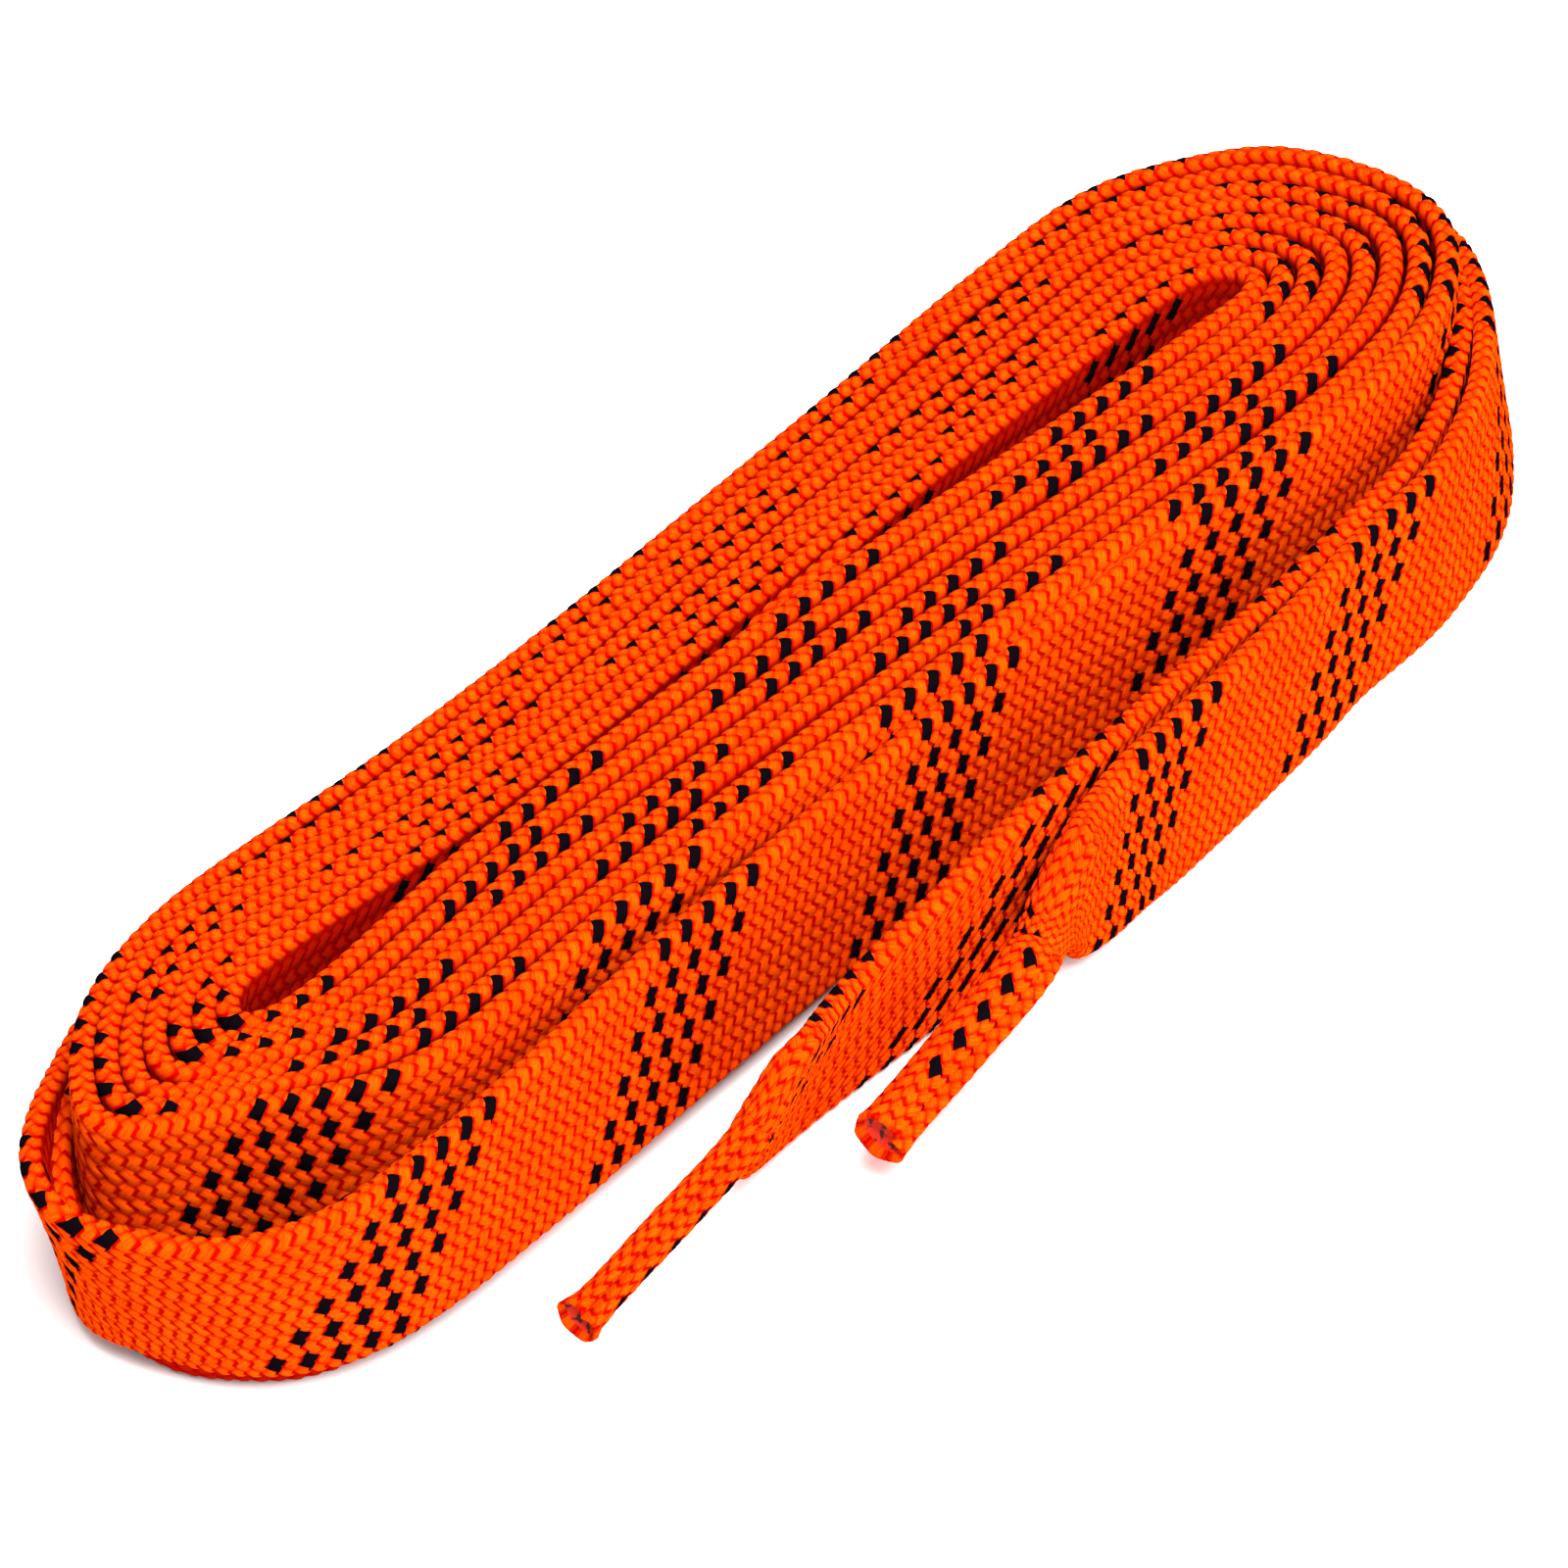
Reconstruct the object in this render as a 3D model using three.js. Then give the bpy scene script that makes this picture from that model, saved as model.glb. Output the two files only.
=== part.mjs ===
// A flat braided lace wound into a long oval hank that stands on its edge.
// The wound hank, its two loose outer turns, the strip that crosses under it,
// the two free tails and the two stiff tips are separate solids.
// Millimetres, +Z up. The hank runs along X and the tails and tips lie in front, at -Y.
// The origin is at the centre of the bottom of the bounding box.
import * as THREE from 'three';

// Driving dimensions.
const LACE_WIDTH = 12.4;
const RIBBON_THICKNESS = 0.7;
const HANK_LIFT = 3.5;
const STRIP_THICKNESS = 1.2;
const STRIP_LENGTH = 14;
const RIBBON_STEP = 2.6;
const HANK_STEPS = 120;
const ROUND_SEGMENTS = 24;

// The middle of the bounding box, measured in the winding's own frame.
const CENTRE_X = 8.33;
const CENTRE_Y = 2.95;

// Stiff tips.
const TIP_A = { length: 17, radius: 1.55, flare: 1.75 };
const TIP_B = { length: 15, radius: 1.2, flare: 1.4 };
const FLARE_LENGTH = 0.9;
const RECESS_DEPTH = 1.2;
const RECESS_RATIO = 0.62;
const BASE_RATIO = 0.55;
const BASE_LENGTH = 1;
const NECK_THICKNESS = 1.4;
const NECK_A_HEADING = THREE.MathUtils.degToRad(8);
const NECK_B_HEADING = THREE.MathUtils.degToRad(4);

const ORANGE = 0xff5a00;
const DEEP_ORANGE = 0xf04400;
const TIP_ORANGE = 0xff6a10;

function lace(colour) {
  return new THREE.MeshStandardMaterial({ color: colour, roughness: 0.55, metalness: 0 });
}

function piece(name, geometry, colour) {
  const mesh = new THREE.Mesh(geometry, lace(colour));
  mesh.name = name;
  return mesh;
}

function curveThrough(points, closed = false) {
  const corners = points.map(([x, y]) => new THREE.Vector3(x, y, 0));
  return new THREE.CatmullRomCurve3(corners, closed, 'centripetal');
}

// A ribbon on edge: the plan outline of the path, given a thickness, raised to its width.
function ribbon(points) {
  const curve = curveThrough(points);
  const steps = Math.ceil(curve.getLength() / RIBBON_STEP);
  const left = [];
  const right = [];
  for (let i = 0; i <= steps; i += 1) {
    const at = curve.getPointAt(i / steps);
    const along = curve.getTangentAt(i / steps);
    const side = new THREE.Vector2(-along.y, along.x).multiplyScalar(RIBBON_THICKNESS / 2);
    left.push(new THREE.Vector2(at.x + side.x, at.y + side.y));
    right.push(new THREE.Vector2(at.x - side.x, at.y - side.y));
  }
  const outline = new THREE.Shape([...left, ...right.reverse()]);
  return new THREE.ExtrudeGeometry(outline, { depth: LACE_WIDTH, bevelEnabled: false });
}

// The eight tight laps, as one solid of their outer shape with round ends.
function woundHank() {
  const outline = curveThrough([
    [-40.5, 9.5], [-39.4, 12.2], [-36.6, 14.8], [-31.3, 16.8], [-25.1, 17.5],
    [-10.6, 16.9], [18.6, 17.3], [30.7, 17.8], [42.2, 18.1], [47.5, 16.9],
    [51.4, 15.3], [54.2, 13.2], [56.1, 10.4], [57.2, 7.6], [57.3, 5.9],
    [56.8, 3.7], [54.7, 0.3], [49.8, -2.3], [44.5, -3.2], [38.2, -3.1],
    [31.5, -2.0], [18.6, -0.6], [-10.6, 0.3], [-25.4, -0.2], [-32.9, 2.1],
    [-38.2, 5.8],
  ], true);
  const corners = outline.getSpacedPoints(HANK_STEPS).slice(0, -1);
  const shape = new THREE.Shape(corners.map((p) => new THREE.Vector2(p.x, p.y)));
  const solid = new THREE.ExtrudeGeometry(shape, { depth: LACE_WIDTH, bevelEnabled: false });
  solid.translate(0, 0, HANK_LIFT);
  return piece('wound_hank', solid, ORANGE);
}

// The lace turns flat here and passes under the lifted hank to the innermost lap.
function crossingStrip() {
  const strip = new THREE.BoxGeometry(STRIP_LENGTH, LACE_WIDTH, STRIP_THICKNESS);
  const mesh = piece('crossing_strip', strip, DEEP_ORANGE);
  mesh.position.set(3, 7.6, STRIP_THICKNESS / 2);
  mesh.rotation.z = Math.PI / 8;
  return mesh;
}

// The outer loose turn: main front face, left loop, back, and right end.
function outerTurn() {
  return piece('outer_turn', ribbon([
    [31.5, -2.85], [18.6, -1.4], [0, -1.5], [-10.6, -1.65], [-20, -2.15],
    [-28, -2.25], [-31.7, -2.1], [-36.5, -0.9], [-39.8, 1.3], [-41.8, 4.2],
    [-42.7, 7.0], [-42.8, 9.3], [-41.8, 12.4], [-39.8, 14.9], [-36.3, 17.2],
    [-30.6, 18.9], [-25, 19.4], [-10.6, 18.8], [18.6, 19.2], [30.7, 19.7],
    [42.5, 20.0], [48.4, 18.8], [52.8, 16.9], [56.1, 14.4], [58.3, 11.2],
    [59.4, 7.8], [59.5, 5.4], [58.9, 2.8], [57.4, 0.2], [55, -2.2],
    [52.4, -4.1], [49.5, -5.6], [46.5, -6.7], [43.6, -7.35],
  ]), ORANGE);
}

// The inner loose turn, one layer inside the outer one.
function innerTurn() {
  return piece('inner_turn', ribbon([
    [-8, -0.6], [-20, -1.05], [-28, -1.15], [-31.6, -0.9], [-35.8, 0.3],
    [-38.9, 2.3], [-40.7, 4.9], [-41.6, 7.3], [-41.7, 9.2], [-40.8, 11.9],
    [-39, 14.1], [-35.9, 16.1], [-30.8, 17.7], [-25, 18.25], [-10.6, 17.65],
    [18.6, 18.05], [30.7, 18.55], [42.3, 18.85], [47.9, 17.65], [52, 15.9],
    [55.1, 13.7], [57.1, 10.8], [58.2, 7.75], [58.3, 5.6], [57.8, 3.2],
    [56.3, 0.7], [54.1, -1.4], [51.6, -3.0], [49, -4.4], [46.2, -5.5],
    [43.6, -6.2],
  ]), DEEP_ORANGE);
}

function tailA() {
  return piece('tail_a', ribbon([
    [42.5, -7.6], [37.6, -8.1], [33.4, -8.35], [26.7, -8.8], [18.6, -9.3], [14.4, -9.5],
  ]), ORANGE);
}

function tailB() {
  return piece('tail_b', ribbon([
    [42.5, -6.45], [37.6, -6.9], [33.4, -7.2], [26.7, -7.5], [18.6, -7.8],
    [10.4, -8.05], [2.2, -8.6], [-6, -9.2],
  ]), DEEP_ORANGE);
}

// A neck narrows the lace from its full width to the tip: its side view, given a thickness.
function neck(name, sideView, position, heading) {
  const outline = new THREE.Shape(sideView.map(([x, z]) => new THREE.Vector2(x, z)));
  const solid = new THREE.ExtrudeGeometry(outline, { depth: NECK_THICKNESS, bevelEnabled: false });
  solid.translate(0, 0, -NECK_THICKNESS / 2);
  solid.rotateX(Math.PI / 2);
  const mesh = piece(name, solid, ORANGE);
  mesh.position.set(...position);
  mesh.rotation.z = heading;
  return mesh;
}

function neckA() {
  const sideView = [
    [-5, 3.3], [-3, 1.6], [-1, 0], [0, 0], [0, LACE_WIDTH], [-1.5, 12], [-3, 9.9], [-5, 6.6],
  ];
  return neck('neck_a', sideView, [14, -9.9, 0], NECK_A_HEADING);
}

function neckB() {
  const sideView = [
    [-6.5, 6.2], [-4.2, 4.6], [0, 0], [0, LACE_WIDTH], [-4.2, 11.6], [-6.5, 9.6],
  ];
  return neck('neck_b', sideView, [-6.4, -9.4, 0], NECK_B_HEADING);
}

// A tip is a round stiff end, tapered at its base, flared and hollow at its cut.
function tip(name, size, base, end) {
  const profile = [
    [0, 0], [size.radius * BASE_RATIO, 0], [size.radius, BASE_LENGTH],
    [size.radius, size.length - FLARE_LENGTH], [size.flare, size.length],
    [size.radius * RECESS_RATIO, size.length], [0, size.length - RECESS_DEPTH],
  ];
  const points = profile.map(([r, along]) => new THREE.Vector2(r, along));
  const mesh = piece(name, new THREE.LatheGeometry(points, ROUND_SEGMENTS), TIP_ORANGE);
  const from = new THREE.Vector3(...base);
  const direction = new THREE.Vector3(...end).sub(from).normalize();
  mesh.position.copy(from);
  mesh.quaternion.setFromUnitVectors(new THREE.Vector3(0, 1, 0), direction);
  return mesh;
}

const winding = new THREE.Group();
winding.position.set(-CENTRE_X, -CENTRE_Y, 0);
winding.add(woundHank(), crossingStrip(), outerTurn(), innerTurn());
winding.add(tailA(), tailB(), neckA(), neckB());
winding.add(tip('tip_a', TIP_A, [8.2, -10.8, 4.95], [-8.6, -12.8, 4.0]));
winding.add(tip('tip_b', TIP_B, [-13.6, -9.95, 8.0], [-28.6, -11.1, 6.8]));

const part = new THREE.Group();
part.add(winding);

export default part;
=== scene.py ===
import math

import bpy
import numpy as np
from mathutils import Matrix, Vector


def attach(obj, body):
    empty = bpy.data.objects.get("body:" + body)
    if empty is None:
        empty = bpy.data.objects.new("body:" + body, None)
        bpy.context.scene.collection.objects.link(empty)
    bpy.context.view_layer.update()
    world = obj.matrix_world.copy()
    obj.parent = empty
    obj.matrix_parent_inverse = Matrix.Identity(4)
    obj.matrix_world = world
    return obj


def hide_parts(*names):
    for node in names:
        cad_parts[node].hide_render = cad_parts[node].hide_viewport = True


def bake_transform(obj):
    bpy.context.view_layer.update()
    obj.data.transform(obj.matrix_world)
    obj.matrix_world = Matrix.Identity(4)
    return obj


# A flat braided lace, wound into an oval hank that stands on its edge. The frame's CAD solids give its
# place. The lace is one continuous strip, drawn here with every stitch of its braid as real relief.
# Route points are in millimetres in the winding's own frame, as in the part's source.

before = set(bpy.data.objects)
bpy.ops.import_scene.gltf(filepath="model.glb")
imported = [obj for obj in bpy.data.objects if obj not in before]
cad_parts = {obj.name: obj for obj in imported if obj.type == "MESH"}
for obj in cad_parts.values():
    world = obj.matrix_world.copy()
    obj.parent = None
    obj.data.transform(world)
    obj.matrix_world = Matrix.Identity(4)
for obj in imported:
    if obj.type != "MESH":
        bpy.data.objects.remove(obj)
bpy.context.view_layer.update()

MM = 0.001
CENTRE_X = 8.33
CENTRE_Y = 2.95
LACE_WIDTH = 12.4
THICKNESS = 1.15
HANK_LIFT = 3.5
HALF = LACE_WIDTH / 2
RAISED = HANK_LIFT + HALF
LAP_COUNT = 8

# How tightly the laps press together: the share of their spacing that the lace fills, and its limits.
LAP_FILL = 0.93
THINNEST = 1.0
THICKEST = 1.28

# Points of the smooth line in each span between two rows of the route.
PER_SPAN = 24

# The braid: 24 carriers each way, each passing over two and under two. Stitch lengths are in
# millimetres, and a repeat is the width of two carriers. A group of tracers crests the top edge when
# the stitch count is CROWN_AT_TOP, and again after every CARRIERS stitches.
CARRIERS = 24
STITCH = 0.875
NECK_STITCH = 0.62
TIP_STITCH = 1.1
REPEATS = CARRIERS // 2
CROWN_AT_TOP = 3.5

# Rings for each stitch, and points round a ring for each repeat.
RING_STEPS = 4
ROUND_STEPS = 8

# How far ahead and behind a ring its heading is taken, in stitches.
HEADING_REACH = 0.3

# The slant of a row of stitches across a face, in stitches for each repeat away from the top edge.
SLANT = 0.55

# The height of the braid's relief in millimetres, and the share of it that lies within the strip's size.
RELIEF = 0.15
INSET = 0.6

# The shape of a float: how round it is across, how arched along its length, and the furrow beside its twin.
FLOAT_ROUND = 1.1
FLOAT_ARCH = 0.9
TWIN_START = 0.22
TWIN_DIP = 0.75

# Where the columns and the rows of the weave begin. A column is a carrier that heads to the right of
# travel as it crosses the top edge, and a row is one that heads to the left.
COLUMN_OFFSET = -0.5
ROW_OFFSET = 1.0

# How unevenly the carriers stand out, and the numbers that scatter the rows and the columns.
UNEVEN = 0.10
UNEVEN_ROW = 7 * 12.9898
UNEVEN_COLUMN = 13 * 12.9898

# The rise and fall of a strip that was wound by hand: height in millimetres, turn per stitch, and phase.
SETTLE_WAVES = [(0.10, 0.071, 0.0), (0.07, 0.173, 1.3)]

# Each row is x, y, centre height, roll, width and thickness. Roll tilts the strip's top towards the
# right-hand side of its travel, in degrees. Travel is from tip B to tip A. Rows of four values have
# the lace's own width and thickness, and points of x and y alone stand upright on the floor.
TIP_B_ROUTE = [
    (-28.0, -11.15, 7.0, 0, 2.75, 2.6),
    (-27.1, -11.1, 7.05, 0, 2.2, 2.1),
    (-20.6, -10.55, 7.5, 0, 2.1, 2.0),
    (-14.8, -10.1, 7.95, 4, 2.2, 2.0),
]
NECK_B_ROUTE = [
    (-13.4, -9.85, 8.0, 10, 2.8, 2.1),
    (-12.5, -9.5, 7.8, 14, 4.8, 1.9),
    (-11.6, -9.1, 7.4, 16, 7.8, 1.6),
    (-10.2, -8.7, 6.8, 16, 10.6, 1.3),
    (-6.6, -8.05, 6.2, 14, 12.4, THICKNESS),
]
TAIL_B_ROUTE = [
    (-1.8, -7.85, 6.15, 11, LACE_WIDTH, THICKNESS),
    (2.2, -7.8, HALF, 9, LACE_WIDTH, THICKNESS),
    (6.4, -7.6, HALF, 7, LACE_WIDTH, THICKNESS),
    (10.4, -7.55, HALF, 5, LACE_WIDTH, THICKNESS),
    (18.6, -7.5, HALF, 3, LACE_WIDTH, THICKNESS),
    (26.7, -7.4, HALF, 2, LACE_WIDTH, THICKNESS),
    (33.4, -7.1, HALF, 1, LACE_WIDTH, THICKNESS),
    (37.6, -6.8, HALF, 0, LACE_WIDTH, THICKNESS),
    (42.5, -6.35, HALF, 0, LACE_WIDTH, THICKNESS),
]
INNER_TURN_POINTS = [
    (46.2, -5.5), (49, -4.4), (51.6, -3.0), (54.1, -1.4), (56.3, 0.7), (57.8, 3.2),
    (58.3, 5.6), (58.2, 7.75), (57.1, 10.8), (55.1, 13.7), (52, 15.9), (47.9, 17.65),
    (42.3, 18.85), (30.7, 18.55), (18.6, 18.05), (-10.6, 17.45), (-25, 17.75), (-30.6, 17.1),
]
INNER_LOOP_ROUTE = [
    (-35.5, 15.4, 6.0, 3, 12.0, THICKNESS),
    (-38.1, 13.3, 5.7, 7, 11.4, THICKNESS),
    (-39.8, 11.2, 5.4, 11, 10.9, THICKNESS),
    (-40.6, 9.2, 5.3, 15, 10.8, THICKNESS),
    (-40.7, 7.3, 5.3, 16, 10.8, THICKNESS),
    (-40.1, 4.9, 5.3, 15, 10.8, THICKNESS),
    (-38.6, 2.7, 5.5, 12, 11.1, THICKNESS),
    (-35.8, 0.6, 5.8, 5, 11.6, THICKNESS),
    (-31.6, -0.8, HALF, 2, LACE_WIDTH, THICKNESS),
    (-28.0, -1.1, HALF, 0, LACE_WIDTH, THICKNESS),
    (-20.0, -1.0, HALF, 0, LACE_WIDTH, THICKNESS),
    (-12.0, -0.7, HALF, 0, LACE_WIDTH, THICKNESS),
]
CROSSING_ROUTE = [
    (-7.0, -0.4, 6.1, 0), (-4.5, 1.5, 3.8, 55), (-2.5, 4.5, 1.4, 84), (-0.5, 7.4, 1.6, 81),
    (2.0, 9.0, 4.4, 50), (5.0, 9.4, 7.0, 12), (9.0, 9.45, 8.6, 0), (13.5, 9.35, 9.5, 0),
]
# Stations round one lap of the tight winding: the innermost lap's x and y, and the step of each
# further lap. Station 0 is the left end. The winding begins at FIRST_STATION of its innermost lap and
# ends at LAST_STATION of its outermost one.
LAP_STATIONS = [
    (-28.4, 9.8, -1.55, 0.04), (-28.0, 10.5, -1.46, 0.22), (-27.0, 10.8, -1.04, 0.65),
    (-25.0, 10.5, -0.40, 0.95), (-10.6, 9.1, 0, 1.04), (18.6, 9.3, 0, 1.10),
    (35.0, 9.5, 0.11, 1.17), (41.9, 9.4, 0.48, 1.12), (44.0, 9.0, 0.93, 0.85),
    (44.9, 8.4, 1.33, 0.51), (45.3, 7.7, 1.55, -0.11), (45.2, 7.0, 1.52, -0.53),
    (44.2, 6.7, 1.36, -0.85), (42.3, 6.9, 0.98, -1.20), (38.9, 7.3, 0.46, -1.37),
    (18.6, 9.0, 0, -1.41), (-10.6, 10.0, 0, -1.37), (-24.6, 9.2, -0.30, -1.17),
    (-27.2, 8.9, -1.01, -0.50), (-28.2, 9.2, -1.48, -0.11),
]
FIRST_STATION = 5
RIGHT_STATION = 10
LAST_STATION = 13
FRONT_FACE_ROUTE = [
    (42.4, -3.2, RAISED, 0), (34.0, -2.65, 9.5, 0), (26.0, -1.95, 9.0, 1), (18.6, -1.5, 8.4, 3),
    (8.0, -1.5, 8.0, 3.6), (0.0, -1.6, 7.95, 3.6), (-10.6, -1.85, 7.9, 3.6), (-20.0, -2.35, 7.9, 2),
    (-28.0, -2.35, 7.9, 0),
]
OUTER_LOOP_ROUTE = [
    (-31.7, -2.0, 7.9, -2), (-34.6, -1.3, 7.9, -5), (-36.9, -0.2, 7.9, -8), (-38.6, 1.1, 7.9, -11),
    (-39.9, 2.7, 7.9, -12.5), (-41.0, 4.7, 7.9, -14), (-41.7, 6.5, 7.8, -15), (-42.0, 8.3, 7.7, -15),
    (-41.7, 10.1, 7.5, -13), (-40.7, 12.0, 7.2, -10), (-38.9, 13.8, 6.9, -7), (-36.6, 15.4, 6.6, -4),
    (-33.6, 17.0, 6.4, -2), (-30.4, 18.2, HALF, 0),
]
OUTER_TURN_POINTS = [
    (-25, 18.9), (-10.6, 18.6), (18.6, 19.2), (30.7, 19.7), (42.5, 20.0), (48.4, 18.8),
    (52.8, 16.9), (56.1, 14.4), (58.3, 11.2),
]
RIGHT_TURN_ROUTE = [
    (59.2, 8.0, HALF, 4), (59.9, 5.2, HALF, 7), (59.6, 2.4, HALF, 9), (58.0, -0.4, HALF, 10),
    (55.7, -2.7, HALF, 9), (53.1, -4.6, HALF, 8), (50.3, -6.05, HALF, 6), (47.0, -7.1, HALF, 3),
    (43.8, -7.8, HALF, 1),
]
TAIL_A_ROUTE = [
    (37.6, -8.0, HALF, 0, LACE_WIDTH, THICKNESS),
    (33.4, -8.55, HALF, 0, LACE_WIDTH, THICKNESS),
    (26.7, -9.15, HALF, 0, LACE_WIDTH, THICKNESS),
    (20.0, -9.45, 6.15, 0, 12.3, 1.25),
    (16.8, -9.4, 6.0, 0, 11.9, 1.6),
]
NECK_A_ROUTE = [
    (14.4, -9.5, 5.7, 0, 11.2, 1.9),
    (12.4, -9.65, 5.6, 1, 9.6, 2.1),
    (10.9, -9.85, 5.75, 1, 7.2, 2.3),
    (9.6, -10.1, 5.7, 1, 5.0, 2.4),
    (8.4, -10.4, 5.3, 0, 3.6, 2.6),
]
TIP_A_ROUTE = [
    (6.6, -10.9, 4.85, 0, 3.2, 2.9),
    (0.0, -11.8, 4.4, 0, 3.1, 2.9),
    (-6.6, -12.6, 4.0, 0, 3.15, 2.95),
    (-7.6, -12.75, 3.95, 0, 3.7, 3.4),
]

# For each tip, the stitch count at its middle and the place of its crease, in repeats from its top.
TIP_BRAID = {"a": (5, -1.25), "b": (0, 0.6)}

# Where the one row of tracers runs on each tip, and how far it reaches to each side, in repeats.
TIP_TRACER_ROWS = {"a": -0.6, "b": 1.8}
TIP_TRACER_REACH = 0.6

# The repeats that show round a tip. A crease's depth is in heights of the relief, its width in repeats.
TIP_REPEATS = 6
CREASE_DEPTH = 4.5
CREASE_WIDTH = 0.25

# The hollow, crushed end of a tip: the length and the width of each ring against the rim's, and its
# depth in millimetres. The slit's length runs along CUT_LENGTH. The first RIM_RINGS rings are the rim,
# which keeps the tip's braid.
CUT_PROFILE = [
    (0.97, 0.97, -0.12), (0.88, 0.8, -0.1), (0.78, 0.52, 0.15), (0.6, 0.3, 0.6), (0.4, 0.15, 0.8),
]
CUT_LENGTH = np.array([0.0, 0.88, 0.47])
RIM_RINGS = 3

# Where groups of black stitches crest the top edge, in travel order: the run, and x along the hank.
TICK_PLACES = [
    ("tail_b", -7.5), ("tail_b", 14.2), ("tail_b", 32.3), ("back_0", 19.8), ("front_1", 12.2),
    ("front_1", -28.4), ("back_1", 8.3), ("front_2", 6.9), ("back_2", 9.5), ("front_3", 8.3),
    ("back_3", 4.2), ("front_4", 17.2), ("back_4", 12.7), ("front_5", 13.8), ("back_5", 11.7),
    ("front_6", 19.1), ("back_6", 0.3), ("back_6", 21.7), ("front_7", 11.1), ("front_7", -30.4),
    ("back_7", 4.5), ("front_8", 13.4), ("front_8", -28.0), ("tail_a", 39.6), ("tail_a", 20.0),
]

# Where the lace is parted into pieces, as x along the hank: at the roots of both tails, and at the two
# ends of each neck. The crossing's piece begins some stitches before its first route point.
TAIL_ROOT_X = 43
NECK_A_X = (15, 7.6)
NECK_B_X = (0, -13.8)
CROSSING_LEAD = 16

# The camera's target in the winding's frame, level with the hank's top, and its distance in
# millimetres, direction in degrees and lens.
TARGET = (0.0, 0.0, RAISED + HALF)
CAMERA_DISTANCE = 434.6
CAMERA_AZIMUTH = -48.5
CAMERA_ELEVATION = 45.0
LENS = 196.5
SENSOR = 36.0

# The surroundings, in metres. Each light is a name, azimuth and elevation in degrees, distance, size
# and power.
FLOOR_REACH = 3.0
FLOOR_DROP = 0.0002
WORLD_STRENGTH = 0.75
LIGHTS = [
    ("key", -30, 66, 0.8, 0.4, 14),
    ("front_fill", 15, 28, 0.6, 0.3, 2.4),
]


def row_frame(x, y, z):
    """A winding-frame point in millimetres as a row-frame point in metres."""
    return ((x - CENTRE_X) * MM, (y - CENTRE_Y) * MM, z * MM)


# ---------------------------------------------------------------- route

def widen(rows):
    """Route rows of x, y, height and roll, given the lace's full width and thickness."""
    return [(x, y, z, roll, LACE_WIDTH, THICKNESS) for x, y, z, roll in rows]


def on_floor(points):
    """Plan points, given a strip that stands on the floor."""
    return [(x, y, HALF, 0, LACE_WIDTH, THICKNESS) for x, y in points]


def lap_rows():
    """Every station of the tight winding, lap by lap, and the index of each end turn."""
    rows = []
    ends = {}
    for lap in range(LAP_COUNT):
        for index, (x, y, step_x, step_y) in enumerate(LAP_STATIONS):
            if lap == 0 and index < FIRST_STATION:
                continue
            if lap == LAP_COUNT - 1 and index > LAST_STATION:
                continue
            turns = lap + index / len(LAP_STATIONS)
            if index == 0:
                ends[f"left_{lap}"] = len(rows)
            if index == RIGHT_STATION:
                ends[f"right_{lap + 1}"] = len(rows)
            spacing = math.hypot(step_x, step_y)
            thickness = min(max(LAP_FILL * spacing, THINNEST), THICKEST)
            rows.append((x + turns * step_x, y + turns * step_y, RAISED, 0, LACE_WIDTH, thickness))
    return rows, ends


def whole_route():
    """All rows from tip B to tip A, and the row index at which each named place lies."""
    laps, ends = lap_rows()
    rows = []
    marks = {}
    sections = [
        ("tip_b", TIP_B_ROUTE),
        ("neck_b", NECK_B_ROUTE),
        ("tail_b", TAIL_B_ROUTE),
        ("inner_turn", on_floor(INNER_TURN_POINTS)),
        ("inner_loop", INNER_LOOP_ROUTE),
        ("crossing", widen(CROSSING_ROUTE)),
        ("laps", laps),
        ("front_face", widen(FRONT_FACE_ROUTE)),
        ("outer_loop", widen(OUTER_LOOP_ROUTE)),
        ("outer_turn", on_floor(OUTER_TURN_POINTS)),
        ("right_turn", widen(RIGHT_TURN_ROUTE)),
        ("tail_a", TAIL_A_ROUTE),
        ("neck_a", NECK_A_ROUTE),
        ("tip_a", TIP_A_ROUTE),
    ]
    for name, part in sections:
        marks[name] = len(rows)
        if name == "laps":
            for end, index in ends.items():
                marks[end] = len(rows) + index
        rows.extend(part)
    marks["end"] = len(rows) - 1
    return np.array(rows, float), marks


def smooth(rows):
    """A centripetal Catmull-Rom curve through rows, in all their columns."""
    ends = np.vstack([2 * rows[0] - rows[1], rows, 2 * rows[-1] - rows[-2]])
    gaps = np.sqrt(np.linalg.norm(np.diff(ends[:, :3], axis=0), axis=1))
    knots = np.concatenate([[0], np.cumsum(gaps)])
    spans = []
    for i in range(1, len(ends) - 2):
        k0, k1, k2, k3 = knots[i - 1:i + 3]
        p0, p1, p2, p3 = ends[i - 1:i + 3]
        t = np.linspace(k1, k2, PER_SPAN, endpoint=False)[:, None]
        a1 = (k1 - t) / (k1 - k0) * p0 + (t - k0) / (k1 - k0) * p1
        a2 = (k2 - t) / (k2 - k1) * p1 + (t - k1) / (k2 - k1) * p2
        a3 = (k3 - t) / (k3 - k2) * p2 + (t - k2) / (k3 - k2) * p3
        b1 = (k2 - t) / (k2 - k0) * a1 + (t - k0) / (k2 - k0) * a2
        b2 = (k3 - t) / (k3 - k1) * a2 + (t - k1) / (k3 - k1) * a3
        spans.append((k2 - t) / (k2 - k1) * b1 + (t - k1) / (k2 - k1) * b2)
    return np.vstack(spans + [rows[-1:]])


route_rows, marks = whole_route()
line = smooth(route_rows)
travel = np.concatenate([[0], np.cumsum(np.linalg.norm(np.diff(line[:, :3], axis=0), axis=1))])


def travel_at(mark):
    """Arc length at a named place."""
    return travel[marks[mark] * PER_SPAN]


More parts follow.
